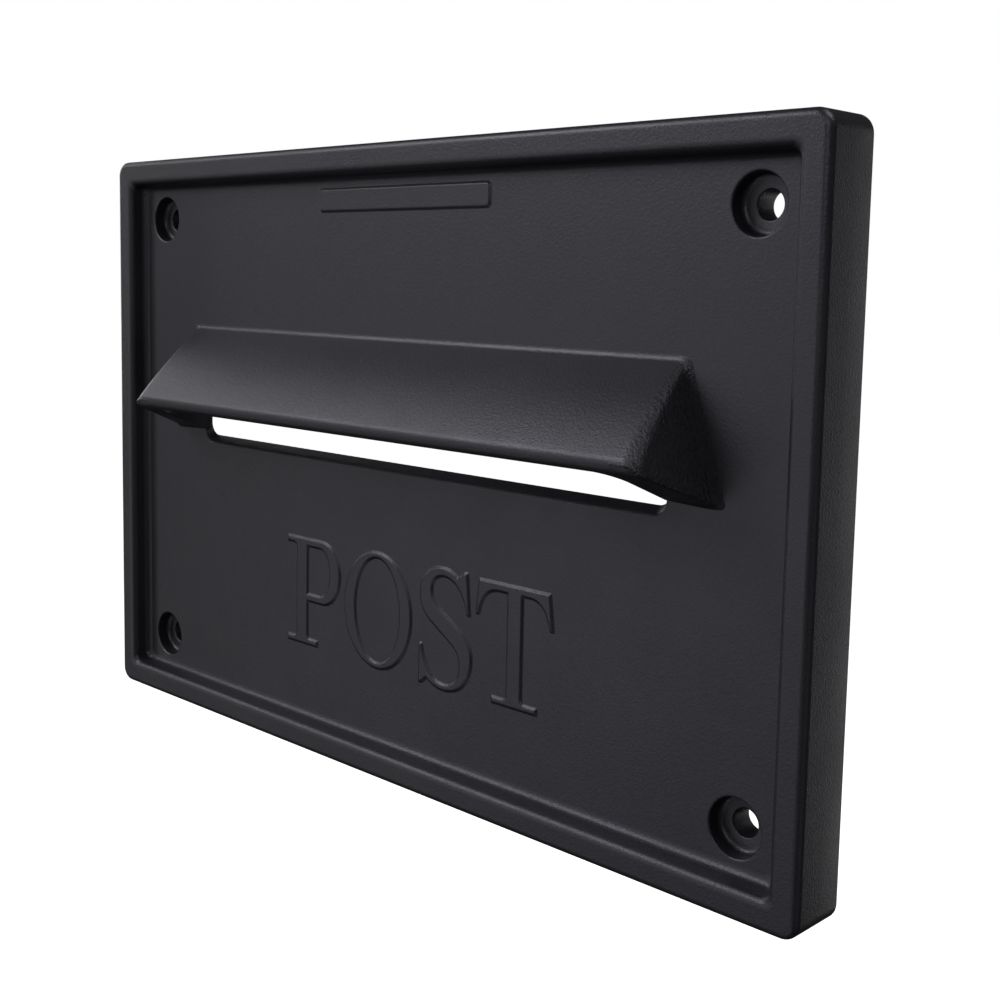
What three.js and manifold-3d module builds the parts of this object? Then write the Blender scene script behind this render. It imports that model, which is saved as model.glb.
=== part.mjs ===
// A cast metal letter plate: a raised border round a recessed panel, a fixed rain hood over an
// open letter slot, four counterbored screw bosses, and raised lettering.
// Millimetres, +Z up. The origin is the middle of the back, where the plate meets the wall,
// and the front faces -Y.
import * as THREE from "three";
import { mergeVertices } from "three/addons/utils/BufferGeometryUtils.js";
import Module from "manifold-3d";

const wasm = await Module();
wasm.setup();

// ---- Driving dimensions ----
const plateWidth = 321.6;
const plateHeight = 210;
const plateDepth = 20.2;
const plateCornerRadius = 5.4;
const frontEdgeRadius = 2.3;

const borderFaceWidth = 6.7; // from the outer edge to where the inner moulding starts
const borderWallWidth = 6; // flat rim that stands on the wall
const mouldingRoundRadius = 2.6;
const mouldingCoveRadius = 2.8;
const mouldingDraft = 0.4;
const innerCornerRadius = 3;

const recessDepth = 6.9; // from the border's face back to the panel's face
const panelThickness = 3.2;

const slotHalfLength = 110;
const slotSillFront = -1.8; // height of the sill at the panel's face
const slotSillRise = 2.7; // the sill climbs this much to the back, so that rain runs out
const slotTop = 36.2;
const slotCornerRadius = 4.5;

const hoodTopZ = 41.6; // where the hood leaves the panel
const hoodReach = 25.4; // from the panel's face out to the lip
const lipTopZ = 15.7;
const lipUndercut = 0.8; // the lip's face leans back this far
const lipFootWidth = 0.9; // flat under the lip
const lipInnerLean = 0.7; // the lip's inner face leans back this far
const hoodArch = 1.25; // how far the hood's arc rises above its chord
const canopyThickness = 4.3;
const hoodFootZ = 2.9; // height of the cheeks' foot at the panel
const undersideSlope = 0.39; // the open underside climbs towards the lip
const cheekTopHalfWidth = 115.1;
const cheekFlareDown = 0.33; // a cheek widens this much for each mm down
const cheekTaperOut = 0.2; // and narrows this much for each mm out from the panel

const screwX = 136.5;
const screwZ = 82.6;
const counterboreRadius = 8.3;
const counterboreDepth = 5.2;
const screwHoleRadius = 4;
const bossRadius = 12;

const letterRelief = 0.7;
const letterCurveSteps = 20;
const nameBar = { width: 81.6, height: 7.6, z: 87.6, radius: 1.6 };

// ---- Values that follow from them ----
const halfWidth = plateWidth / 2;
const halfHeight = plateHeight / 2;
const faceY = -plateDepth;
const panelY = faceY + recessDepth;
const panelBackY = panelY + panelThickness;
const panelInset = borderFaceWidth + mouldingRoundRadius + mouldingDraft + mouldingCoveRadius;
const lipY = panelY - hoodReach;
const arcSteps = 6;

const castBlack = new THREE.MeshStandardMaterial({
  color: 0x2b2b2e,
  roughness: 0.55,
  metalness: 0.25,
});

// ---- Outlines ----

// A rounded rectangle in the plane of the plate, anticlockwise seen from the front.
function roundedRectangle(left, right, bottom, top, radius) {
  const s = new THREE.Shape();
  s.moveTo(right, bottom + radius);
  s.lineTo(right, top - radius);
  s.absarc(right - radius, top - radius, radius, 0, Math.PI / 2);
  s.lineTo(left + radius, top);
  s.absarc(left + radius, top - radius, radius, Math.PI / 2, Math.PI);
  s.lineTo(left, bottom + radius);
  s.absarc(left + radius, bottom + radius, radius, Math.PI, 1.5 * Math.PI);
  s.lineTo(right - radius, bottom);
  s.absarc(right - radius, bottom + radius, radius, 1.5 * Math.PI, 2 * Math.PI);
  return s;
}

// The points of a closed outline, each once.
function loopPoints(shape, divisions = arcSteps) {
  const points = shape.getPoints(divisions);
  return points.filter((p, i) => p.distanceTo(points[(i + 1) % points.length]) > 1e-6);
}

// The outline of the plate moved inwards by inset.
function insetLoop(inset) {
  const radius = Math.max(plateCornerRadius - inset, innerCornerRadius);
  const x = halfWidth - inset;
  const z = halfHeight - inset;
  return loopPoints(roundedRectangle(-x, x, -z, z, radius));
}

// ---- Solids ----

function meshOf(name, geometry) {
  const mesh = new THREE.Mesh(geometry, castBlack);
  mesh.name = name;
  return mesh;
}

// A closed mesh from rings of points that all have the same count. The rings run from front to
// back; with closed set, the last ring joins the first, and otherwise both ends are capped.
function ringsToGeometry(rings, closed) {
  const count = rings[0].length;
  const positions = rings.flat().flatMap((p) => p.toArray());
  const index = [];
  const lastRing = closed ? rings.length : rings.length - 1;
  for (let r = 0; r < lastRing; r++) {
    const a = r * count;
    const b = ((r + 1) % rings.length) * count;
    for (let i = 0; i < count; i++) {
      const j = (i + 1) % count;
      index.push(a + i, b + i, b + j);
      index.push(a + i, b + j, a + j);
    }
  }
  if (!closed) {
    const flat = rings[0].map((p) => new THREE.Vector2(p.x, p.z));
    const back = (rings.length - 1) * count;
    for (const [i, j, k] of THREE.ShapeUtils.triangulateShape(flat, [])) {
      index.push(i, j, k);
      index.push(back + i, back + k, back + j);
    }
  }
  const geometry = new THREE.BufferGeometry();
  geometry.setAttribute("position", new THREE.Float32BufferAttribute(positions, 3));
  geometry.setIndex(index);
  return geometry;
}

function toSolid(geometry) {
  const bare = new THREE.BufferGeometry();
  bare.setAttribute("position", geometry.getAttribute("position"));
  if (geometry.index) bare.setIndex(geometry.index);
  const merged = mergeVertices(bare, 1e-4);
  return new wasm.Manifold(
    new wasm.Mesh({
      numProp: 3,
      vertProperties: merged.attributes.position.array,
      triVerts: new Uint32Array(merged.index.array),
    }),
  );
}

function toGeometry(solid) {
  const mesh = solid.getMesh();
  const geometry = new THREE.BufferGeometry();
  geometry.setAttribute("position", new THREE.BufferAttribute(mesh.vertProperties, 3));
  geometry.setIndex(new THREE.BufferAttribute(mesh.triVerts, 1));
  return geometry;
}

// A flat outline pulled out between two depths. The outline's Y is the plate's Z.
function slab(shape, frontY, backY, curveSegments = arcSteps) {
  const geometry = new THREE.ExtrudeGeometry(shape, {
    depth: backY - frontY,
    bevelEnabled: false,
    curveSegments,
  });
  geometry.rotateX(Math.PI / 2);
  geometry.translate(0, backY, 0);
  return geometry;
}

// ---- Border ----

// The border's section as [inset from the outer edge, depth], walked round once.
function borderSection() {
  const section = [];
  const arc = (inset, y, radius, from, to) => {
    for (let i = 0; i <= arcSteps; i++) {
      const a = THREE.MathUtils.lerp(from, to, i / arcSteps);
      section.push([inset + radius * Math.cos(a), y + radius * Math.sin(a)]);
    }
  };
  const wallInset = borderFaceWidth + mouldingRoundRadius;
  section.push([0, 0]);
  arc(frontEdgeRadius, faceY + frontEdgeRadius, frontEdgeRadius, Math.PI, 1.5 * Math.PI);
  arc(borderFaceWidth, faceY + mouldingRoundRadius, mouldingRoundRadius, 1.5 * Math.PI, 2 * Math.PI);
  arc(
    wallInset + mouldingDraft + mouldingCoveRadius,
    panelY - mouldingCoveRadius,
    mouldingCoveRadius,
    Math.PI,
    Math.PI / 2,
  );
  section.push([panelInset, panelBackY]);
  section.push([borderWallWidth + 1.5, panelBackY]);
  section.push([borderWallWidth, panelBackY + 1.5]);
  section.push([borderWallWidth, 0]);
  return section;
}

function borderFrame() {
  const rings = borderSection().reverse().map(([inset, y]) =>
    insetLoop(inset).map((p) => new THREE.Vector3(p.x, y, p.y)),
  );
  return meshOf("border_frame", ringsToGeometry(rings, true));
}

// ---- Panel ----

// The tool that cuts the slot: its bottom climbs towards the back.
function slotCutter() {
  const over = 1;
  const rise = slotSillRise / panelThickness;
  const ringAt = (y) => {
    const sill = slotSillFront + rise * (y - panelY);
    const shape = roundedRectangle(
      -slotHalfLength,
      slotHalfLength,
      sill,
      slotTop,
      slotCornerRadius,
    );
    return loopPoints(shape).map((p) => new THREE.Vector3(p.x, y, p.y));
  };
  return toSolid(ringsToGeometry([ringAt(panelY - over), ringAt(panelBackY + over)], false));
}

function screwCentres() {
  return [
    { name: "top_left", x: -screwX, z: screwZ },
    { name: "top_right", x: screwX, z: screwZ },
    { name: "bottom_left", x: -screwX, z: -screwZ },
    { name: "bottom_right", x: screwX, z: -screwZ },
  ];
}

function facePanel() {
  const shape = new THREE.Shape(insetLoop(panelInset));
  for (const c of screwCentres()) {
    const hole = new THREE.Path();
    hole.absarc(c.x, c.z, counterboreRadius, 0, 2 * Math.PI, true);
    shape.holes.push(new THREE.Path(hole.getPoints(18).slice(0, -1)));
  }
  const plate = toSolid(slab(shape, panelY, panelBackY));
  return meshOf("face_panel", toGeometry(plate.subtract(slotCutter())));
}

// ---- Screw bosses ----

// A tube behind the panel: the counterbore goes on into it, then the screw hole runs to the back.
function screwBoss({ name, x, z }) {
  const seatY = panelY + counterboreDepth;
  const profile = [
    [counterboreRadius, panelBackY],
    [counterboreRadius, seatY],
    [screwHoleRadius, seatY],
    [screwHoleRadius, 0],
    [bossRadius, 0],
    [bossRadius, panelBackY],
    [counterboreRadius, panelBackY],
  ].map(([r, y]) => new THREE.Vector2(r, y));
  const mesh = meshOf(`screw_boss_${name}`, new THREE.LatheGeometry(profile.reverse(), 36));
  mesh.position.set(x, 0, z);
  return mesh;
}

// ---- Hood ----

// Points along the hood's outer arc in the Y-Z plane, from the panel to the lip. With offset,
// they lie that far inside it.
function hoodArc(offset, fromY = panelY, toY = lipY) {
  const start = new THREE.Vector2(panelY, hoodTopZ);
  const end = new THREE.Vector2(lipY, lipTopZ);
  const chord = end.clone().sub(start);
  const radius = chord.lengthSq() / (8 * hoodArch) + hoodArch / 2;
  const inward = new THREE.Vector2(-chord.y, chord.x).normalize();
  const centre = start.clone().add(end).multiplyScalar(0.5);
  centre.addScaledVector(inward, radius - hoodArch);
  const r = radius - offset;
  const points = [];
  const steps = 8;
  for (let i = 0; i <= steps; i++) {
    const y = THREE.MathUtils.lerp(fromY, toY, i / steps);
    points.push(new THREE.Vector2(y, centre.y + Math.sqrt(r * r - (y - centre.x) ** 2)));
  }
  return points;
}

const undersideZ = (y) => hoodFootZ + undersideSlope * (panelY - y);

// The canopy's section: outer arc, lip, a strip of underside, and the inner arc back up.
function canopySection() {
  const lipFootY = lipY + lipUndercut;
  const innerFootY = lipFootY + lipFootWidth;
  return [
    ...hoodArc(0),
    new THREE.Vector2(lipFootY, undersideZ(lipFootY)),
    new THREE.Vector2(innerFootY, undersideZ(innerFootY)),
    ...hoodArc(canopyThickness, innerFootY + lipInnerLean, panelY),
  ];
}

function cheekSection() {
  const lipFootY = lipY + lipUndercut;
  return [
    ...hoodArc(0),
    new THREE.Vector2(lipFootY, undersideZ(lipFootY)),
    new THREE.Vector2(panelY, hoodFootZ),
  ];
}

// A prism along X whose section is given in the Y-Z plane and whose ends are set by endX.
function crossPrism(section, nearX, farX) {
  const near = section.map((p) => new THREE.Vector3(nearX(p.x, p.y), p.x, p.y));
  const far = section.map((p) => new THREE.Vector3(farX(p.x, p.y), p.x, p.y));
  const count = section.length;
  const index = [];
  for (let i = 0; i < count; i++) {
    const j = (i + 1) % count;
    index.push(i, count + i, count + j);
    index.push(i, count + j, j);
  }
  for (const [i, j, k] of THREE.ShapeUtils.triangulateShape(section, [])) {
    index.push(i, j, k);
    index.push(count + i, count + k, count + j);
  }
  const geometry = new THREE.BufferGeometry();
  const positions = [...near, ...far].flatMap((p) => p.toArray());
  geometry.setAttribute("position", new THREE.Float32BufferAttribute(positions, 3));
  geometry.setIndex(index);
  return geometry;
}

function hoodCanopy() {
  const geometry = crossPrism(
    canopySection(),
    () => slotHalfLength,
    () => -slotHalfLength,
  );
  return meshOf("hood_canopy", geometry);
}

// A solid end of the hood: flat inside, flared and tapered outside.
function hoodCheek(name, side) {
  const outerX = (y, z) =>
    cheekTopHalfWidth + cheekFlareDown * (hoodTopZ - z) - cheekTaperOut * (panelY - y);
  const inner = () => side * slotHalfLength;
  const outer = (y, z) => side * outerX(y, z);
  const geometry =
    side > 0 ? crossPrism(cheekSection(), outer, inner) : crossPrism(cheekSection(), inner, outer);
  return meshOf(name, geometry);
}

// ---- Lettering ----
// Each letter is drawn in its own frame: x from its left end, y up from the baseline.

const capHeight = 38.2;
const baselineZ = -68.9;
const serifThickness = 2;
const serifBracket = 1.8;

// A foot: from the stem's left side down its bracket, along the foot, and up the other bracket.
function drawFoot(s, stemLeft, stemRight, footLeft, footRight) {
  s.lineTo(stemLeft, serifThickness + serifBracket);
  s.quadraticCurveTo(stemLeft, serifThickness, stemLeft - serifBracket, serifThickness);
  s.lineTo(footLeft, serifThickness);
  s.lineTo(footLeft, 0);
  s.lineTo(footRight, 0);
  s.lineTo(footRight, serifThickness);
  s.lineTo(stemRight + serifBracket, serifThickness);
  s.quadraticCurveTo(stemRight, serifThickness, stemRight, serifThickness + serifBracket);
}

function letterP() {
  const stem = { left: 5.2, right: 11.4 };
  const bowl = { bottom: 15.8, flatTo: 19.4, width: 9.9, thin: 2.6, thick: 5.6 };
  const middle = (bowl.bottom + capHeight) / 2;
  const rise = (capHeight - bowl.bottom) / 2;
  const s = new THREE.Shape();
  s.moveTo(0, capHeight);
  s.lineTo(0, capHeight - serifThickness);
  s.lineTo(stem.left - serifBracket, capHeight - serifThickness);
  s.quadraticCurveTo(
    stem.left,
    capHeight - serifThickness,
    stem.left,
    capHeight - serifThickness - serifBracket,
  );
  drawFoot(s, stem.left, stem.right, 0, 16.8);
  s.lineTo(stem.right, bowl.bottom);
  s.lineTo(bowl.flatTo, bowl.bottom);
  s.absellipse(bowl.flatTo, middle, bowl.width, rise, -Math.PI / 2, Math.PI / 2);
  s.lineTo(0, capHeight);
  const counter = new THREE.Path();
  counter.moveTo(stem.right, bowl.bottom + bowl.thin);
  counter.lineTo(stem.right, capHeight - bowl.thin);
  counter.lineTo(bowl.flatTo - 1, capHeight - bowl.thin);
  counter.absellipse(
    bowl.flatTo - 1,
    middle,
    bowl.width - bowl.thick + 1,
    rise - bowl.thin,
    Math.PI / 2,
    -Math.PI / 2,
    true,
  );
  counter.lineTo(stem.right, bowl.bottom + bowl.thin);
  s.holes.push(counter);
  return s;
}

function letterO() {
  const outer = { x: 17.1, y: 20 };
  const inner = { x: 11.3, y: 18.1 };
  const s = new THREE.Shape();
  s.absellipse(outer.x, capHeight / 2, outer.x, outer.y, 0, 2 * Math.PI);
  const counter = new THREE.Path();
  counter.absellipse(outer.x, capHeight / 2, inner.x, inner.y, 0, 2 * Math.PI, true);
  s.holes.push(counter);
  return s;
}

function letterS() {
  const s = new THREE.Shape();
  s.moveTo(0.4, -0.6); // foot of the lower left spur
  s.lineTo(1.8, -0.6);
  s.lineTo(4.2, 1.4);
  s.bezierCurveTo(7, -0.6, 9.6, -1.3, 12.6, -1.2);
  s.bezierCurveTo(19.8, -1, 24.8, 4, 24.8, 11);
  s.bezierCurveTo(24.8, 15.4, 22.6, 17.8, 19, 20);
  s.lineTo(10.4, 25.2);
  s.bezierCurveTo(7.4, 27, 6.4, 28.6, 6.4, 31);
  s.bezierCurveTo(6.4, 34.2, 8.8, 36.2, 12, 36.2);
  s.bezierCurveTo(17, 36.2, 20.8, 32.4, 22.6, 25.4);
  s.lineTo(23.8, 25.4);
  s.lineTo(22.6, capHeight + 0.6); // top of the upper right spur
  s.lineTo(21, capHeight + 0.6);
  s.lineTo(18.2, capHeight - 1.4);
  s.bezierCurveTo(16, capHeight + 0.2, 13.6, capHeight + 0.8, 11.4, capHeight + 0.8);
  s.bezierCurveTo(5, capHeight + 0.8, 0.8, 34.6, 0.8, 29.4);
  s.bezierCurveTo(0.8, 25, 3, 22.4, 7, 20);
  s.lineTo(14.8, 15.2);
  s.bezierCurveTo(18, 13.2, 19.4, 11.4, 19.4, 8.4);
  s.bezierCurveTo(19.4, 3.8, 16.6, 0.8, 12.4, 0.8);
  s.bezierCurveTo(6.8, 0.8, 3.2, 5, 1.8, 12.4);
  s.lineTo(0.6, 12.4);
  s.lineTo(0.4, -0.6);
  return s;
}

function letterT() {
  const stem = { left: 13.6, right: 19.8 };
  const bar = { left: 1.2, right: 31, thin: 2.6 };
  const spurDrop = 11.2;
  const underBar = capHeight - bar.thin;
  const s = new THREE.Shape();
  s.moveTo(bar.left, capHeight);
  s.lineTo(0, capHeight - spurDrop);
  s.lineTo(1.2, capHeight - spurDrop);
  s.bezierCurveTo(2.4, underBar - 3.6, 4.6, underBar, 9.6, underBar);
  s.lineTo(stem.left, underBar);
  drawFoot(s, stem.left, stem.right, stem.left - 6.4, stem.right + 6.4);
  s.lineTo(stem.right, underBar);
  s.lineTo(23, underBar);
  s.bezierCurveTo(27.8, underBar, 30, underBar - 3.6, 31.2, capHeight - spurDrop);
  s.lineTo(32.4, capHeight - spurDrop);
  s.lineTo(bar.right, capHeight);
  s.lineTo(bar.left, capHeight);
  return s;
}

function letter(name, shape, leftX) {
  const mesh = meshOf(name, slab(shape, panelY - letterRelief, panelY, letterCurveSteps));
  mesh.position.set(leftX, 0, baselineZ);
  return mesh;
}

function blankNameBar() {
  const x = nameBar.width / 2;
  const z = nameBar.height / 2;
  const shape = roundedRectangle(-x, x, nameBar.z - z, nameBar.z + z, nameBar.radius);
  return meshOf("blank_name_bar", slab(shape, panelY - letterRelief, panelY));
}

// ---- The plate ----
const plate = new THREE.Group();
plate.add(borderFrame(), facePanel());
plate.add(hoodCanopy(), hoodCheek("hood_cheek_left", -1), hoodCheek("hood_cheek_right", 1));
for (const centre of screwCentres()) plate.add(screwBoss(centre));
plate.add(
  letter("letter_p", letterP(), -58),
  letter("letter_o", letterO(), -26.2),
  letter("letter_s", letterS(), 11.4),
  letter("letter_t", letterT(), 38),
);
plate.add(blankNameBar());

export default plate;
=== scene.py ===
import bpy
import math
import numpy as np
from mathutils import Matrix, Vector
from mathutils.geometry import tessellate_polygon


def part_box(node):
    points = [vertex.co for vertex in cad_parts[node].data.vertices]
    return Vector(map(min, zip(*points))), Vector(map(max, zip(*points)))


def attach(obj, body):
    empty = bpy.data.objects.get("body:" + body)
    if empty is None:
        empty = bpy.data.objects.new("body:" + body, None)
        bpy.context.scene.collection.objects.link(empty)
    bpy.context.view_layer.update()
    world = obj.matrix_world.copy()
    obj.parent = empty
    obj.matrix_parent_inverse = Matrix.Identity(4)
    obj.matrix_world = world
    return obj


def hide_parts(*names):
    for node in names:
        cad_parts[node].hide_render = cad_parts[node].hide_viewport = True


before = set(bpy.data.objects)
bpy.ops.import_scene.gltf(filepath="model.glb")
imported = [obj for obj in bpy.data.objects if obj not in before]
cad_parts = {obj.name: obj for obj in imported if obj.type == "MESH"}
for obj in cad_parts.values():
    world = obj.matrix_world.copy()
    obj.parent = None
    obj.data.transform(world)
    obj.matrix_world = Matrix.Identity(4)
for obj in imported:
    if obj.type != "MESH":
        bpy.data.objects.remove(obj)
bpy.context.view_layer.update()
mm = 0.001  # shapes are worked out in millimetres and put in as metres


# A node's lowest and highest corners in millimetres.
def boxMm(node):
    low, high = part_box(node)
    return np.array(low) / mm, np.array(high) / mm


plateLow, plateHigh = boxMm("border_frame")
panelLow, panelHigh = boxMm("face_panel")
canopyLow, canopyHigh = boxMm("hood_canopy")
halfWidth, faceY, halfHeight = plateHigh[0], plateLow[1], plateHigh[2]
panelY, panelBackY = panelLow[1], panelHigh[1]
slotHalf, lipY, hoodTopZ = canopyHigh[0], canopyLow[1], canopyHigh[2]

print("stage: mesh helpers")


# A quarter or any other part of a circle, as points [across, along]: centre plus radius times
# cosine and sine of an angle that runs evenly from start to end, in degrees.
def arcPoints(centre, radius, start, end, steps):
    angle = np.radians(np.linspace(start, end, steps + 1))
    return np.stack([centre[0] + radius * np.cos(angle), centre[1] + radius * np.sin(angle)], -1)


# A quadratic bend that leaves before the corner and arrives after it; the corner pulls it.
# All three may be arrays of points, and the result gets one more axis, along the bend.
def bend(before, corner, after, steps):
    t = np.linspace(0, 1, steps + 1)[:, None]
    before, corner, after = (np.asarray(p, float)[..., None, :] for p in (before, corner, after))
    return (1 - t) ** 2 * before + 2 * t * (1 - t) * corner + t**2 * after


# The four-sided faces of a grid of rows by columns, joined round in either direction if asked.
def gridFaces(rows, columns, roundRows=False, roundColumns=False, first=0):
    r = np.arange(rows if roundRows else rows - 1)[:, None]
    c = np.arange(columns if roundColumns else columns - 1)[None, :]
    a = r * columns + c
    b = r * columns + (c + 1) % columns
    d = (r + 1) % rows * columns + (c + 1) % columns
    e = (r + 1) % rows * columns + c
    return (np.stack([a, b, d, e], -1).reshape(-1, 4) + first).tolist()


# Six times the signed volume: the sum over fan triangles of corner dot (corner cross corner).
def signedVolume(points, faces):
    total = 0.0
    for count in {len(f) for f in faces}:
        block = points[np.array([f for f in faces if len(f) == count])]
        for k in range(1, count - 1):
            total += np.sum(block[:, 0] * np.cross(block[:, k], block[:, k + 1]))
    return total


# Puts a closed shell, given in millimetres, into a mesh that faces outwards and is smooth except
# where two faces meet more sharply than the given angle.
def makePiece(name, points, faces, nodes, material, sharpAngle=32):
    points = np.asarray(points, float).reshape(-1, 3) * mm
    if signedVolume(points, faces) < 0:
        faces = [f[::-1] for f in faces]
    mesh = bpy.data.meshes.new(name)
    mesh.from_pydata(points.tolist(), [], faces)
    mesh.update()
    mesh.shade_smooth()
    mesh.set_sharp_from_angle(angle=math.radians(sharpAngle))
    piece = bpy.data.objects.new(name, mesh)
    bpy.context.scene.collection.objects.link(piece)
    mesh.materials.append(material)
    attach(piece, "root")
    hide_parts(*nodes)
    return piece


# A closed loop round a rectangle with round corners, in the plate's plane: each corner's centre
# plus the radius times cosine and sine. Left, right, bottom, top and radius may be arrays with
# one value for each ring, and the rings' depths give Y.
def roundedRings(left, right, bottom, top, radius, depth, steps=12):
    left, right, bottom, top, radius, depth = np.broadcast_arrays(
        *(np.atleast_1d(np.asarray(v, float)) for v in (left, right, bottom, top, radius, depth))
    )
    turn = np.radians(np.concatenate([np.linspace(q, q + 90, steps + 1) for q in (0, 90, 180, 270)]))
    atRight = np.repeat([True, False, False, True], steps + 1)
    atTop = np.repeat([True, True, False, False], steps + 1)
    centreX = np.where(atRight, (right - radius)[:, None], (left + radius)[:, None])
    centreZ = np.where(atTop, (top - radius)[:, None], (bottom + radius)[:, None])
    x = centreX + radius[:, None] * np.cos(turn)
    z = centreZ + radius[:, None] * np.sin(turn)
    return np.stack([x, np.broadcast_to(depth[:, None], x.shape), z], -1)


# Circles round a centre in the plate's plane, one for each radius and depth of a profile.
def circleRings(centreX, centreZ, profile, steps=96):
    turn = np.linspace(0, 2 * np.pi, steps, endpoint=False)
    radius, depth = profile[:, 0, None], profile[:, 1, None]
    x = centreX + radius * np.cos(turn)
    z = centreZ + radius * np.sin(turn)
    return np.stack([x, np.broadcast_to(depth, x.shape), z], -1)


print("stage: finishes")

coatValues = {
    "darkColour": (0.0118, 0.0113, 0.0140, 1),
    "paleColour": (0.0190, 0.0183, 0.0222, 1),
    "roughness": (0.35, 0.44),
    "specularLevel": 0.5,
    "specularTint": (0.89, 0.86, 1.0, 1),
    "grainScale": 2300,  # waves per metre of the finest speckle
    "grainHeight": 0.00006,
    "peelScale": 1250,
    "peelHeight": 0.00008,
    "swellScale": 42,
    "swellHeight": 0.00009,
    "mottleScale": 30,
    "speckScale": 240,
    "speckSize": 0.06,
    "speckCore": 0.4,  # a speck is at full strength inside this share of its size
    "speckColour": (0.11, 0.11, 0.115, 1),
    "speckAmount": 0.35,
    "tintScale": 300,
    "coarseScale": 1100,
    "coarseStretch": 0.9,  # the coarse grain runs slightly up and down
    "coarseHeight": 0.0016,
}


# Noise is a sum of waves, from the scale's down to finer ones as detail grows.
def addNoise(nodes, links, coordinate, scale, detail, roughness):
    noise = nodes.new("ShaderNodeTexNoise")
    noise.inputs["Scale"].default_value = scale
    noise.inputs["Detail"].default_value = detail
    noise.inputs["Roughness"].default_value = roughness
    links.new(coordinate, noise.inputs["Vector"])
    return noise.outputs["Fac"]


# Tilts the normal by the slope of a height, on top of an earlier bump if there is one.
def addBump(nodes, links, height, distance, normal=None):
    bump = nodes.new("ShaderNodeBump")
    bump.inputs["Strength"].default_value = 1
    bump.inputs["Distance"].default_value = distance
    links.new(height, bump.inputs["Height"])
    if normal is not None:
        links.new(normal, bump.inputs["Normal"])
    return bump.outputs["Normal"]


# Satin black powder coat over a casting: a swell, an orange peel and a fine grain as bumps, and
# slight changes of gloss and blackness. With coarse set, the mesh's own attribute brings in the
# rough as-cast surface.
def powderCoat(name, values, coarse=False):
    material = bpy.data.materials.new(name)
    material.use_nodes = True
    nodes, links = material.node_tree.nodes, material.node_tree.links
    shader = nodes["Principled BSDF"]
    place = nodes.new("ShaderNodeTexCoord").outputs["Object"]

    swell = addNoise(nodes, links, place, values["swellScale"], detail=2, roughness=0.5)
    peel = addNoise(nodes, links, place, values["peelScale"], detail=2, roughness=0.55)
    grain = addNoise(nodes, links, place, values["grainScale"], detail=3, roughness=0.6)
    normal = addBump(nodes, links, swell, values["swellHeight"])
    normal = addBump(nodes, links, peel, values["peelHeight"], normal)
    normal = addBump(nodes, links, grain, values["grainHeight"], normal)
    if coarse:
        amount = nodes.new("ShaderNodeAttribute")
        amount.attribute_name = "castRoughness"
        stretch = nodes.new("ShaderNodeMapping")
        stretch.inputs["Scale"].default_value = (1, 1, values["coarseStretch"])
        links.new(place, stretch.inputs["Vector"])
        stretched = stretch.outputs["Vector"]
        lumps = addNoise(nodes, links, stretched, values["coarseScale"], detail=4, roughness=0.62)
        height = nodes.new("ShaderNodeMath")
        height.operation = "MULTIPLY"
        links.new(lumps, height.inputs[0])
        links.new(amount.outputs["Fac"], height.inputs[1])
        normal = addBump(nodes, links, height.outputs[0], values["coarseHeight"], normal)
    links.new(normal, shader.inputs["Normal"])

    gloss = nodes.new("ShaderNodeMapRange")  # most of the noise lies between 0.3 and 0.7
    gloss.inputs["From Min"].default_value = 0.3
    gloss.inputs["From Max"].default_value = 0.7
    gloss.inputs["To Min"].default_value = values["roughness"][0]
    gloss.inputs["To Max"].default_value = values["roughness"][1]
    mottle = addNoise(nodes, links, place, values["mottleScale"], detail=5, roughness=0.6)
    links.new(mottle, gloss.inputs["Value"])
    links.new(gloss.outputs["Result"], shader.inputs["Roughness"])

    # a colour mix has its two colours at sockets 6 and 7, and gives its result at 2
    tint = nodes.new("ShaderNodeMix")
    tint.data_type = "RGBA"
    tint.inputs[6].default_value = values["darkColour"]
    tint.inputs[7].default_value = values["paleColour"]
    shade = addNoise(nodes, links, place, values["tintScale"], detail=5, roughness=0.65)
    links.new(shade, tint.inputs["Factor"])
    specks = nodes.new("ShaderNodeTexVoronoi")
    specks.inputs["Scale"].default_value = values["speckScale"]
    links.new(place, specks.inputs["Vector"])
    nearSpeck = nodes.new("ShaderNodeMapRange")
    nearSpeck.inputs["From Min"].default_value = values["speckSize"]
    nearSpeck.inputs["From Max"].default_value = values["speckSize"] * values["speckCore"]
    nearSpeck.inputs["To Min"].default_value = 0
    nearSpeck.inputs["To Max"].default_value = values["speckAmount"]
    links.new(specks.outputs["Distance"], nearSpeck.inputs["Value"])
    dusted = nodes.new("ShaderNodeMix")
    dusted.data_type = "RGBA"
    dusted.inputs[7].default_value = values["speckColour"]
    links.new(nearSpeck.outputs["Result"], dusted.inputs["Factor"])
    links.new(tint.outputs[2], dusted.inputs[6])
    links.new(dusted.outputs[2], shader.inputs["Base Color"])
    shader.inputs["Specular IOR Level"].default_value = values["specularLevel"]
    shader.inputs["Specular Tint"].default_value = values["specularTint"]
    return material


satinCoat = powderCoat("satinPowderCoat", coatValues)
roughCoat = powderCoat("roughCastCoat", coatValues, coarse=True)

print("stage: border")

borderValues = {
    "cornerRadius": 5.4,
    "innerCornerRadius": 3.0,
    "frontRound": 2.3,
    "faceWidth": 6.7,
    "mouldingRound": 2.6,
    "mouldingCove": 2.8,
    "draft": 0.4,
    "strip": 0.4,  # flat strip next to each bend, so that it starts tangent
    "wall": 6.0,
    "backRound": 0.7,
    "rearFillet": 2.0,
}


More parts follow.
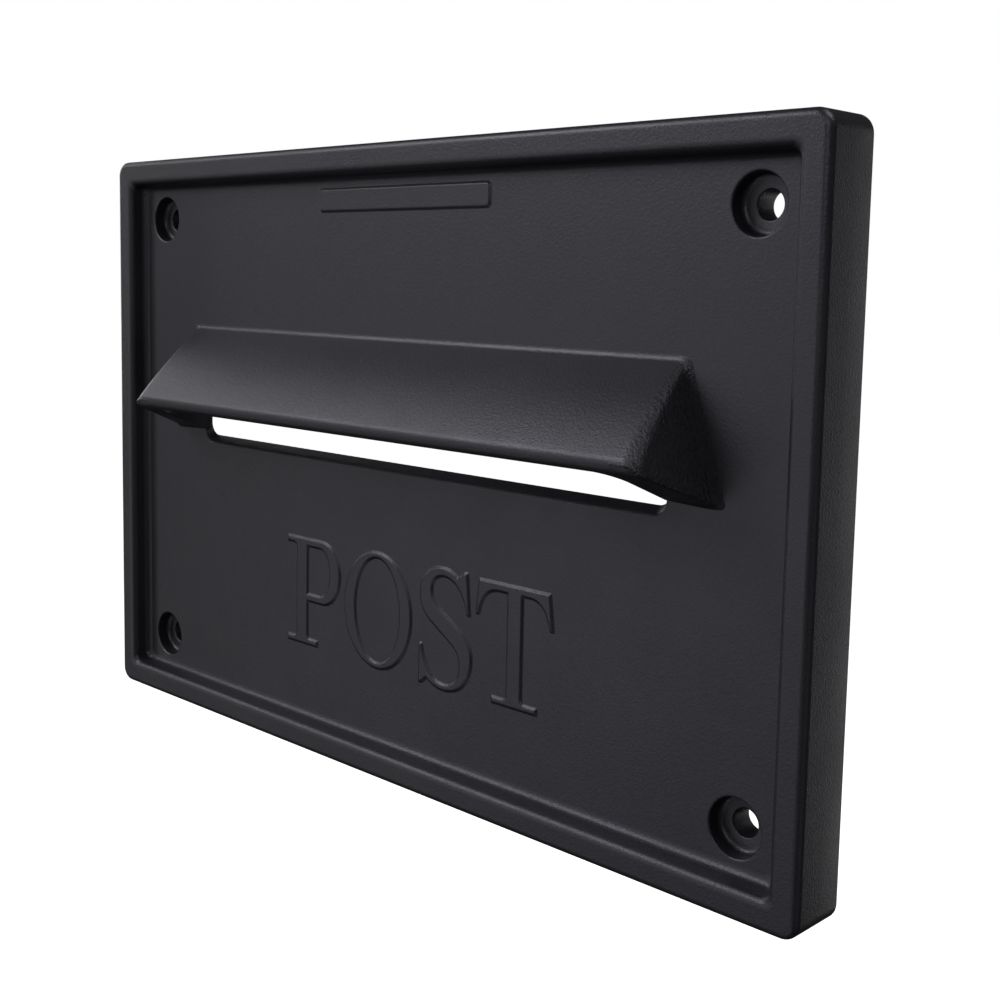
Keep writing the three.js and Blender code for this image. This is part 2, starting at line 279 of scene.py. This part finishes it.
# The border's section, as [inset from the outer edge, depth], carried round the plate: at each
# inset the loop is the plate's outline moved inwards.
def makeBorder(v):
    wallInset = v["faceWidth"] + v["mouldingRound"]
    coveInset = wallInset + v["draft"] + v["mouldingCove"]
    endInset = coveInset + v["strip"]
    back, wall, fillet, strip = v["backRound"], v["wall"], v["rearFillet"], v["strip"]
    section = np.concatenate([
        arcPoints((back, -back), back, 90, 180, 5),
        [[0, faceY / 2]],  # halfway up the outer wall
        arcPoints((v["frontRound"], faceY + v["frontRound"]), v["frontRound"], 180, 270, 16),
        [[v["frontRound"] + strip, faceY], [v["faceWidth"] - strip, faceY]],
        arcPoints((v["faceWidth"], faceY + v["mouldingRound"]), v["mouldingRound"], 270, 360, 16),
        arcPoints((coveInset, panelY - v["mouldingCove"]), v["mouldingCove"], 180, 90, 16),
        [[endInset, panelY], [endInset, panelBackY], [endInset - strip, panelBackY]],
        arcPoints((wall + fillet, panelBackY + fillet), fillet, 270, 180, 6),
        arcPoints((wall - back, -back), back, 0, 90, 5),
    ])
    inset = section[:, 0]
    radius = np.maximum(v["cornerRadius"] - inset, v["innerCornerRadius"])
    x, z = halfWidth - inset, halfHeight - inset
    rings = roundedRings(-x, x, -z, z, radius, section[:, 1], steps=14)
    faces = gridFaces(*rings.shape[:2], roundRows=True, roundColumns=True)
    makePiece("borderFrame", rings, faces, ["border_frame"], satinCoat)
    return endInset


panelInset = makeBorder(borderValues)

print("stage: screw bosses")

bossValues = {
    "counterboreRadius": 8.3,
    "counterboreDepth": 5.2,
    "holeRadius": 4.0,
    "outerRadius": 12.0,
    "mouthRound": 0.7,
    "edgeRound": 0.5,
    "floorFillet": 1.6,
    "rootFillet": 1.0,
}
bossNodes = [f"screw_boss_{row}_{side}" for row in ("top", "bottom") for side in ("left", "right")]
bossCentres = [np.mean(boxMm(node), axis=0)[[0, 2]] for node in bossNodes]


# A boss is a profile of [radius, depth] turned about its screw's axis: counterbore wall, seat,
# screw hole, back ring and outer wall.
def makeBoss(node, centre, v):
    seatY = panelY + v["counterboreDepth"]
    edge, fillet, root = v["edgeRound"], v["floorFillet"], v["rootFillet"]
    profile = np.concatenate([
        [[v["counterboreRadius"], panelBackY]],
        arcPoints((v["counterboreRadius"] - fillet, seatY - fillet), fillet, 0, 90, 6),
        arcPoints((v["holeRadius"] + edge, seatY + edge), edge, 270, 180, 5),
        arcPoints((v["holeRadius"] + edge, -edge), edge, 180, 90, 5),
        arcPoints((v["outerRadius"] - edge, -edge), edge, 90, 0, 5),
        arcPoints((v["outerRadius"] + root, panelBackY + root), root, 180, 270, 5),
    ])
    rings = circleRings(*centre, profile)
    faces = gridFaces(*rings.shape[:2], roundRows=True, roundColumns=True)
    words = node.split("_")
    name = "screwBoss" + "".join(w.capitalize() for w in words[2:])
    makePiece(name, rings, faces, [node], satinCoat)


for node, centre in zip(bossNodes, bossCentres):
    makeBoss(node, centre, bossValues)

print("stage: face panel")

panelValues = {
    "slotTop": 36.2,
    "sillFront": -1.8,
    "sillRise": 2.7,
    "slotCorner": 4.5,
    "slotRound": 0.9,
    "lead": 0.3,  # flat strip round each opening, so that the rounding starts tangent
    "backRound": 0.4,
}


# The front of an opening, as [how far outside its wall, depth]: a flat lead and a quarter round.
def mouthProfile(mouthRound, lead):
    turned = arcPoints((mouthRound, panelY + mouthRound), mouthRound, 270, 180, 9)
    return np.concatenate([[[mouthRound + lead, panelY]], turned])


# The panel is flat back and front, between its outline and the rings of its five openings. Each
# opening is its profile carried round it, the slot's bottom climbs with depth, and the bosses
# take the screw openings' walls on from the panel's back.
def makePanel(v):
    x, z = halfWidth - panelInset, halfHeight - panelInset
    backRound, lead = v["backRound"], v["lead"]
    backTurn = arcPoints((backRound, panelBackY - backRound), backRound, 180, 90, 4)
    slotEnd = [[backRound + lead, panelBackY]]
    grow, depth = np.concatenate([mouthProfile(v["slotRound"], lead), backTurn, slotEnd]).T
    sill = v["sillFront"] + v["sillRise"] * (depth - panelY) / (panelBackY - panelY)
    hole = np.concatenate([mouthProfile(bossValues["mouthRound"], lead), [[0, panelBackY]]])
    hole += [bossValues["counterboreRadius"], 0]
    corner = borderValues["innerCornerRadius"]
    outer = roundedRings(-x, x, -z, z, corner, [panelY, panelBackY], steps=14)
    slot = roundedRings(
        -slotHalf - grow, slotHalf + grow, sill - grow, v["slotTop"] + grow,
        v["slotCorner"] + grow, depth, steps=12,
    )
    stacks = [outer, slot, *(circleRings(*centre, hole) for centre in bossCentres)]

    points, faces, fronts, backs, first = [], [], [], [], 0
    for rings in stacks:
        rows, columns = rings.shape[:2]
        around = gridFaces(rows, columns, roundColumns=True, first=first)
        faces += [f[::-1] for f in around] if rings is outer else around  # the openings look inwards
        fronts.append(first + np.arange(columns))
        backs.append(first + (rows - 1) * columns + np.arange(columns))
        points.append(rings.reshape(-1, 3))
        first += rows * columns
    points = np.concatenate(points)
    for loops, outwards in ((fronts, -1), (backs, 1)):
        order = np.concatenate(loops)
        flat = [[Vector((points[i, 0], points[i, 2], 0)) for i in loop] for loop in loops]
        fill = order[np.array(tessellate_polygon(flat))]
        a, b, c = points[fill.T]
        turned = np.cross(b - a, c - a)[:, 1] * outwards < 0
        fill[turned] = fill[turned][:, ::-1]
        faces += fill.tolist()
    makePiece("facePanel", points, faces, ["face_panel"], satinCoat)


makePanel(panelValues)

print("stage: hood")

hoodValues = {
    "arch": 1.25,
    "lipTopZ": 15.7,
    "lipUndercut": 0.8,
    "thickness": 4.3,
    "footZ": 2.9,
    "undersideSlope": 0.39,
    "rootFillet": 1.8,
    "rootShare": 0.62,  # the fillet's reach along the panel's normal, as a share of its size
    "lipTopRound": 1.4,
    "lipFootRound": 1.3,
    "innerRound": 0.9,
    "innerCorner": 8.0,
    "topHalfWidth": 115.1,
    "flareDown": 0.33,
    "taperOut": 0.2,
    "ridgeRadius": (1.9, 4.8),  # at the panel and at the lip
    "footRound": 1.1,
    "footShare": 0.3,  # but no more than this share of the slice's height
    "lipRun": 3.0,  # the cheek's slices close up over this depth at the lip
    "cheekFillet": 2.2,
    "filletDrop": 0.3,  # how much of the fillet shows under the foot
    "dropTurn": 15,  # round the foot it swings from this angle to straight down
    "dropEnd": 0.2,  # and along the underside it fades to this share
    "roughRise": 1.3,  # the power that brings the casting's grain in over the ridge
    "roughFoot": 0.3,  # the share of the grain left at the end of the foot
    "roughUnder": 0.15,
    "sunk": 1.0,  # how far the hood's root runs on inside the panel
    "seam": (0.02, 0.6),  # the root fillet ends this far inside the panel's face and above
    "lipShare": 0.7,  # how far back the lip's top bend leaves the arc, as a share of its size
    "innerShare": 0.9,
}


# The hood's outer arc passes through its root on the panel and the lip's top edge, and rises by
# arch above the straight line between them. This gives its centre and radius.
def hoodCircle(v):
    start, end = np.array([panelY, hoodTopZ]), np.array([lipY, v["lipTopZ"]])
    chord = end - start
    length = np.hypot(*chord)
    radius = length**2 / (8 * v["arch"]) + v["arch"] / 2
    inward = np.array([-chord[1], chord[0]]) / length
    return (start + end) / 2 + inward * (radius - v["arch"]), radius


arcCentre, arcRadius = hoodCircle(hoodValues)


# Height of the arc at a depth, moved inwards by offset: centre plus the square root of radius
# squared less distance squared.
def arcHeight(y, offset=0.0):
    return arcCentre[1] + np.sqrt((arcRadius - offset) ** 2 - (y - arcCentre[0]) ** 2)


# The arc's direction at a depth, one long: at right angles to the line from its centre.
def arcDirection(y, offset=0.0):
    rise = arcHeight(y, offset) - arcCentre[1]
    direction = np.stack([rise, -(y - arcCentre[0])], -1)
    return direction / np.linalg.norm(direction, axis=-1, keepdims=True)


# The underside is straight: the foot's height plus the slope times the distance from the panel.
def undersideHeight(y, v):
    return v["footZ"] + v["undersideSlope"] * (panelY - y)


# The outside of the hood's section from the panel to the lip's foot, as [depth, height]: a
# hollow fillet, the arc, and the lip with both its edges bent round.
def outerContour(v):
    rootY = panelY - v["rootFillet"] * v["rootShare"]
    root = np.array([rootY, arcHeight(rootY)])
    tangent = arcDirection(np.float64(rootY))
    meet = np.array([panelY, root[1] + (panelY - rootY) * tangent[1] / tangent[0]])
    above = meet + [0, np.hypot(*(root - meet))]
    lipTop = np.array([lipY, v["lipTopZ"]])
    footY = lipY + v["lipUndercut"]
    lipFoot = np.array([footY, undersideHeight(footY, v)])
    down = (lipFoot - lipTop) / np.hypot(*(lipFoot - lipTop))
    inwards = np.array([1, -v["undersideSlope"]]) / math.hypot(1, v["undersideSlope"])
    beforeY = lipY + v["lipTopRound"] * v["lipShare"]
    y = np.linspace(rootY, beforeY, 26)[1:-1]
    return np.concatenate([
        [above + v["seam"]],
        bend(above, meet, root, 12),
        np.stack([y, arcHeight(y)], -1),
        bend([beforeY, arcHeight(beforeY)], lipTop, lipTop + down * v["lipTopRound"], 8),
        bend(lipFoot - down * v["lipFootRound"], lipFoot, lipFoot + inwards * v["lipFootRound"], 8),
    ]), lipFoot, inwards


hoodOutline, lipFoot, underDirection = outerContour(hoodValues)


# The canopy is its section carried along the slot. The inner arc lies one thickness inside the
# outer one, and drops by a quarter circle towards the cheeks: radius less the square root of
# radius squared less distance squared.
def makeCanopy(v):
    corner = v["innerCorner"]
    endTurn = np.sin(np.radians(np.linspace(0, 90, 15)))
    ends = slotHalf - corner + corner * endTurn
    x = np.concatenate([-ends[::-1], np.linspace(-1, 1, 13)[1:-1] * (slotHalf - corner), ends])
    into = np.clip(np.abs(x) - (slotHalf - corner), 0, corner)
    offset = v["thickness"] + corner - np.sqrt(corner**2 - into**2)

    # where the inner arc meets the open underside, found by halving
    low, high = np.full_like(x, lipFoot[0] + 0.2), np.full_like(x, panelY - 0.5)
    for _ in range(40):
        middle = (low + high) / 2
        above = arcHeight(middle, offset) > undersideHeight(middle, v)
        high, low = np.where(above, middle, high), np.where(above, low, middle)
    edge = np.stack([low, undersideHeight(low, v)], -1)
    upwards = arcDirection(low, offset)
    pull = v["innerRound"] * v["innerShare"]
    rounded = bend(edge - underDirection * pull, edge, edge + upwards * pull, 7)
    t = np.linspace(0, 1, 20)[1:]
    innerY = (edge[:, 0] + upwards[:, 0] * pull)[:, None] * (1 - t) + panelY * t
    inner = np.stack([innerY, arcHeight(innerY, offset[:, None])], -1)
    sunkIn = inner[:, -1:] + [v["sunk"], 0]
    sunkOut = np.broadcast_to(hoodOutline[0] + [v["sunk"], 0], sunkIn.shape)
    outer = np.broadcast_to(hoodOutline, (len(x), *hoodOutline.shape))
    section = np.concatenate([outer, rounded, inner, sunkIn, sunkOut], 1)
    points = np.concatenate([np.broadcast_to(x[:, None, None], (*section.shape[:2], 1)), section], -1)
    rows, columns = points.shape[:2]
    faces = gridFaces(rows, columns, roundColumns=True)
    faces += [list(range(columns))[::-1], list(range((rows - 1) * columns, rows * columns))]
    makePiece("hoodCanopy", points, faces, ["hood_canopy"], satinCoat)


makeCanopy(hoodValues)


# How many points each stretch of a cheek's outline has, in order round it.
cheekSteps = {"inner": 6, "top": 4, "ridge": 17, "side": 13, "foot": 6, "under": 5}


# The depths of a cheek's slices, close together in the fillet at the panel and round the lip,
# and the heights of the top and the bottom in each.
def cheekSlices(v):
    tip = hoodOutline[:, 0].argmin()
    topBranch, lipBranch = hoodOutline[1 : tip + 1], hoodOutline[tip:]
    near = panelY - v["cheekFillet"] * (1 - np.cos(np.radians(np.linspace(0, 90, 9))))
    middle = np.linspace(near[-1], lipY + v["lipRun"], 22)[1:]
    lipTurn = np.radians(np.linspace(0, 90, 18))[1:]
    y = np.concatenate([near, middle, lipY + v["lipRun"] * (1 - np.sin(lipTurn))])
    y[-1] = hoodOutline[tip, 0]
    top = np.interp(y, topBranch[::-1, 0], topBranch[::-1, 1])
    low = np.interp(y, lipBranch[:, 0], lipBranch[:, 1])
    low = np.where(y > lipBranch[-1, 0], undersideHeight(y, v), low)
    return y, top, low


# Each slice's closed outline of [across, height]: up the inner face, along the top, round the
# ridge, down the flared side, round the foot and back along the underside.
def cheekOutlines(y, top, low, v):
    top, low, away = top[:, None], low[:, None], (panelY - y)[:, None]
    height = np.maximum(top - low, 1e-3)
    atPanel, atLip = v["ridgeRadius"]
    ridge = atPanel + (atLip - atPanel) * away / (panelY - lipY)
    foot = np.minimum(v["footRound"], v["footShare"] * height)

    def planeX(z):
        return v["topHalfWidth"] + v["flareDown"] * (hoodTopZ - z) - v["taperOut"] * away

    def along(name, skip=0):
        return np.linspace(0, 1, cheekSteps[name] + skip)

    innerZ = low + height * along("inner")
    # the ridge drops below the top and comes in from the side, both from one angle
    lastTurn = np.arccos(np.clip(1 - np.minimum(ridge, height - foot) / ridge, -1, 1))
    turn = lastTurn * along("ridge")
    ridgeZ = top - ridge * (1 - np.cos(turn))
    ridgeX = planeX(ridgeZ) - ridge * (1 - np.sin(turn))
    topX = slotHalf + (ridgeX[:, :1] - slotHalf) * along("top", 2)[1:-1]
    # the side keeps the inset that the ridge ends with, down to the foot's bend
    lastZ, lastX = ridgeZ[:, -1:], ridgeX[:, -1:]
    sideZ = lastZ + (low + foot - lastZ) * along("side", 1)[1:]
    sideX = planeX(sideZ) - (planeX(lastZ) - lastX)
    footTurn = np.radians(90) * along("foot", 1)[1:]
    footX = sideX[:, -1:] + foot * (v["flareDown"] * np.sin(footTurn) - 1 + np.cos(footTurn))
    footZ = low + foot * (1 - np.sin(footTurn))
    underX = footX[:, -1:] + (slotHalf - footX[:, -1:]) * along("under", 2)[1:-1]
    innerX = slotHalf * np.ones_like(innerZ)
    topZ, underZ = top * np.ones_like(topX), low * np.ones_like(underX)
    across = np.concatenate([innerX, topX, ridgeX, sideX, footX, underX], 1)
    return np.stack([across, np.concatenate([innerZ, topZ, ridgeZ, sideZ, footZ, underZ], 1)], -1)


# For each point of the outline, which way the fillet at the panel pushes it, and how rough the
# casting is there.
def cheekFinish(v):
    n = cheekSteps
    plain = np.zeros(n["inner"] + n["top"])
    ridge = np.linspace(0, 1, n["ridge"])
    bottomTurn = np.radians(np.linspace(v["dropTurn"], 90, n["foot"]))
    across = [plain, np.sin(np.radians(90) * ridge), np.ones(n["side"]), np.cos(bottomTurn)]
    across = np.concatenate([*across, np.zeros(n["under"])])
    down = np.concatenate([np.sin(bottomTurn), np.linspace(1, v["dropEnd"], n["under"])])
    up = np.concatenate([np.zeros(len(across) - len(down)), -v["filletDrop"] * down])
    atFoot = np.linspace(1, v["roughFoot"], n["foot"])
    rough = [plain, ridge ** v["roughRise"], np.ones(n["side"]), atFoot]
    return np.stack([across, up], -1), np.concatenate([*rough, np.full(n["under"], v["roughUnder"])])


# A cheek is a stack of slices parallel to the panel. Near the panel each slice swells by a hollow
# fillet, radius less the square root of radius squared less the rest squared.
def makeCheek(side, node, v):
    y, top, low = cheekSlices(v)
    push, rough = cheekFinish(v)
    fillet, rest = v["cheekFillet"], v["cheekFillet"] - (panelY - y)
    swell = np.where(rest > 0, fillet - np.sqrt(np.maximum(fillet**2 - rest**2, 0)), 0)
    outline = cheekOutlines(y, top, low, v) + swell[:, None, None] * push
    outline = np.concatenate([outline[:1], outline])
    depth = np.concatenate([[panelY + v["sunk"]], y])
    points = np.stack([
        side * outline[..., 0],
        np.broadcast_to(depth[:, None], outline.shape[:2]),
        outline[..., 1],
    ], -1)
    rows, columns = points.shape[:2]
    faces = gridFaces(rows, columns, roundColumns=True)
    faces += [list(range(columns))[::-1], list(range((rows - 1) * columns, rows * columns))]
    name = "hoodCheekRight" if side > 0 else "hoodCheekLeft"
    piece = makePiece(name, points, faces, [node], roughCoat, sharpAngle=40)
    attribute = piece.data.attributes.new("castRoughness", "FLOAT", "POINT")
    attribute.data.foreach_set("value", np.tile(rough, rows).astype(np.float32))


makeCheek(1, "hood_cheek_right", hoodValues)
makeCheek(-1, "hood_cheek_left", hoodValues)

print("stage: lettering")

reliefValues = {
    "spacing": 0.24,
    "margin": 2.4,
    "slopeOut": 0.55,  # the side starts this far outside the letter's line
    "slopeIn": 0.65,  # and reaches the top this far inside
    "sunk": 0.35,
    "dipRun": 0.9,  # the skin round the letter dips under the panel over this far
    "dipPower": 1.5,
    "skin": 0.004,  # and lies this far under it from the start
    "floor": 1.2,
}


# The outline of a raised shape: the edges that only one of its front faces has.
def frontEdges(node):
    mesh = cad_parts[node].data
    co = np.zeros(len(mesh.vertices) * 3, np.float32)
    mesh.vertices.foreach_get("co", co)
    co = np.round(co.reshape(-1, 3) / mm, 4)
    triangles = np.zeros(len(mesh.loops), np.int32)
    mesh.loops.foreach_get("vertex_index", triangles)
    corner = co[triangles.reshape(-1, 3)]
    front = corner[(corner[:, :, 1] < co[:, 1].min() + 0.01).all(1)]
    edges = np.concatenate([front[:, [a, b]] for a, b in ((0, 1), (1, 2), (2, 0))])[:, :, [0, 2]]
    order = np.lexsort((edges[:, :, 1], edges[:, :, 0]), axis=1)
    keys = np.take_along_axis(edges, order[:, :, None], 1).reshape(-1, 4)
    _, first, count = np.unique(keys, axis=0, return_index=True, return_counts=True)
    return edges[first[count == 1]], co[:, 1].min()


# Distance to the nearest edge, positive inside. A point is inside if a line from it towards +X
# crosses the outline an odd number of times.
def signedDistance(x, z, edges):
    px, pz = x.ravel()[:, None], z.ravel()[:, None]
    ax, az = edges[:, 0, 0], edges[:, 0, 1]
    bx, bz = edges[:, 1, 0], edges[:, 1, 1]
    dx, dz = bx - ax, bz - az
    t = np.clip(((px - ax) * dx + (pz - az) * dz) / (dx**2 + dz**2), 0, 1)
    distance = np.sqrt(((px - ax - t * dx) ** 2 + (pz - az - t * dz) ** 2).min(1))
    straddles = (az > pz) != (bz > pz)
    with np.errstate(divide="ignore", invalid="ignore"):
        crossX = ax + (pz - az) / dz * dx
    inside = ((straddles & (crossX > px)).sum(1) % 2) == 1
    return np.where(inside, distance, -distance).reshape(x.shape)


# A raised letter is a height over a grid: a smooth step across its outline, three t squared less
# two t cubed, that dips under the panel's face further out.
def makeRelief(node, name, v):
    edges, topY = frontEdges(node)
    low = edges.reshape(-1, 2).min(0) - v["margin"]
    high = edges.reshape(-1, 2).max(0) + v["margin"]
    columns, rows = np.ceil((high - low) / v["spacing"]).astype(int) + 1
    x, z = np.meshgrid(np.linspace(low[0], high[0], columns), np.linspace(low[1], high[1], rows))
    distance = signedDistance(x, z, edges)
    t = np.clip((distance + v["slopeOut"]) / (v["slopeOut"] + v["slopeIn"]), 0, 1)
    away = np.clip((-distance - v["slopeOut"]) / v["dipRun"], 0, 1)
    height = (panelY - topY) * t * t * (3 - 2 * t) - v["sunk"] * away ** v["dipPower"] - v["skin"]
    top = np.stack([x, panelY - height, z], -1).reshape(-1, 3)
    faces = gridFaces(rows, columns)
    ids = np.arange(rows * columns).reshape(rows, columns)
    rim = np.concatenate([ids[0], ids[1:, -1], ids[-1, -2::-1], ids[-2:0:-1, 0]])
    bottom = top[rim] * [1, 0, 1] + [0, panelY + v["floor"], 0]
    under = len(top) + np.arange(len(rim))
    nextRim, nextUnder = np.roll(rim, -1), np.roll(under, -1)
    faces += np.stack([nextRim, rim, under, nextUnder], -1).tolist()
    faces.append(under[::-1].tolist())
    points = np.concatenate([top, bottom])
    makePiece(name, points, faces, [node], satinCoat, sharpAngle=60)


for letter in "post":
    makeRelief(f"letter_{letter}", f"letter{letter.upper()}", reliefValues)
makeRelief("blank_name_bar", "blankNameBar", reliefValues)

print("stage: studio")

studioValues = {
    "floorZ": -0.55,
    "floorSize": 30,
    "floorColour": (0.9, 0.9, 0.9, 1),
    "floorRoughness": 0.9,
    "floorGlow": 1.0,
    "fillStrength": 0.03,
}


# A pale square far below the part, which throws no light or reflection on it.
def makeFloor(v):
    half = v["floorSize"] / 2
    mesh = bpy.data.meshes.new("studioFloor")
    square = ((-half, -half), (half, -half), (half, half), (-half, half))
    corners = [(x, y, v["floorZ"]) for x, y in square]
    mesh.from_pydata(corners, [], [(0, 1, 2, 3)])
    floor = bpy.data.objects.new("studioFloor", mesh)
    bpy.context.scene.collection.objects.link(floor)
    paint = bpy.data.materials.new("paleFloor")
    paint.use_nodes = True
    shader = paint.node_tree.nodes["Principled BSDF"]
    shader.inputs["Base Color"].default_value = v["floorColour"]
    shader.inputs["Roughness"].default_value = v["floorRoughness"]
    shader.inputs["Emission Color"].default_value = (1, 1, 1, 1)
    shader.inputs["Emission Strength"].default_value = v["floorGlow"]
    mesh.materials.append(paint)
    floor.visible_glossy = False
    floor.visible_diffuse = False


# The room is white to the eye, and gives the part only a dim, even fill.
def makeRoom(v):
    world = bpy.data.worlds.new("studioRoom")
    bpy.context.scene.world = world
    world.use_nodes = True
    nodes, links = world.node_tree.nodes, world.node_tree.links
    background = nodes["Background"]
    background.inputs["Color"].default_value = (1, 1, 1, 1)
    seen = nodes.new("ShaderNodeLightPath")
    strength = nodes.new("ShaderNodeMapRange")
    strength.inputs["To Min"].default_value = v["fillStrength"]
    strength.inputs["To Max"].default_value = 1.0
    links.new(seen.outputs["Is Camera Ray"], strength.inputs["Value"])
    links.new(strength.outputs["Result"], background.inputs["Strength"])


# A soft box stands in a direction from the plate, given as its turn from the front towards the
# right and its height, both in degrees, and faces the plate.
def softBox(name, turn, height, distance, size, power):
    light = bpy.data.lights.new(name, "AREA")
    light.shape = "RECTANGLE"
    light.size, light.size_y = size
    light.energy = power
    lamp = bpy.data.objects.new(name, light)
    bpy.context.scene.collection.objects.link(lamp)
    turn, height = math.radians(turn), math.radians(height)
    lamp.location = Vector((
        math.sin(turn) * math.cos(height), -math.cos(turn) * math.cos(height), math.sin(height),
    )) * distance
    lamp.rotation_euler = lamp.location.to_track_quat("Z", "Y").to_euler()


lightValues = {
    "keyBox": {"turn": -44, "height": 36, "distance": 1.5, "size": (0.75, 0.75), "power": 11.0},
    "frontBox": {"turn": -32, "height": -5, "distance": 1.6, "size": (1.5, 1.4), "power": 5.6},
    "leftBox": {"turn": -95, "height": 10, "distance": 1.5, "size": (0.75, 0.75), "power": 4.6},
    "highRightBox": {"turn": 100, "height": 60, "distance": 1.5, "size": (0.75, 0.75), "power": 8.0},
    "rightBox": {"turn": 28, "height": 24, "distance": 1.5, "size": (0.6, 0.6), "power": 3.4},
    "lowRightBox": {"turn": 75, "height": -16, "distance": 1.5, "size": (0.75, 1.0), "power": 0.6},
    "behindBox": {"turn": 165, "height": -8, "distance": 1.5, "size": (0.75, 1.3), "power": 2.5},
    "underBox": {"turn": 5, "height": -45, "distance": 1.5, "size": (0.75, 0.75), "power": 1.5},
}
makeFloor(studioValues)
makeRoom(studioValues)
for name, light in lightValues.items():
    softBox(name, **light)

cameraValues = {
    "place": (0.3373, -0.3150, 0.0624),
    "turn": 43.94,
    "tilt": 83.65,
    "roll": 1.14,
    "lens": 49.84,
    "shiftY": -0.0676,
}


def makeCamera(v):
    data = bpy.data.cameras.new("viewCamera")
    data.sensor_width = 36
    data.lens = v["lens"]
    data.shift_y = v["shiftY"]
    data.clip_start = 0.01
    camera = bpy.data.objects.new("viewCamera", data)
    bpy.context.scene.collection.objects.link(camera)
    camera.matrix_world = (
        Matrix.Translation(v["place"])
        @ Matrix.Rotation(math.radians(v["turn"]), 4, "Z")
        @ Matrix.Rotation(math.radians(v["tilt"]), 4, "X")
        @ Matrix.Rotation(math.radians(v["roll"]), 4, "Z")
    )
    bpy.context.scene.camera = camera


makeCamera(cameraValues)
bpy.context.scene.view_settings.view_transform = "Standard"
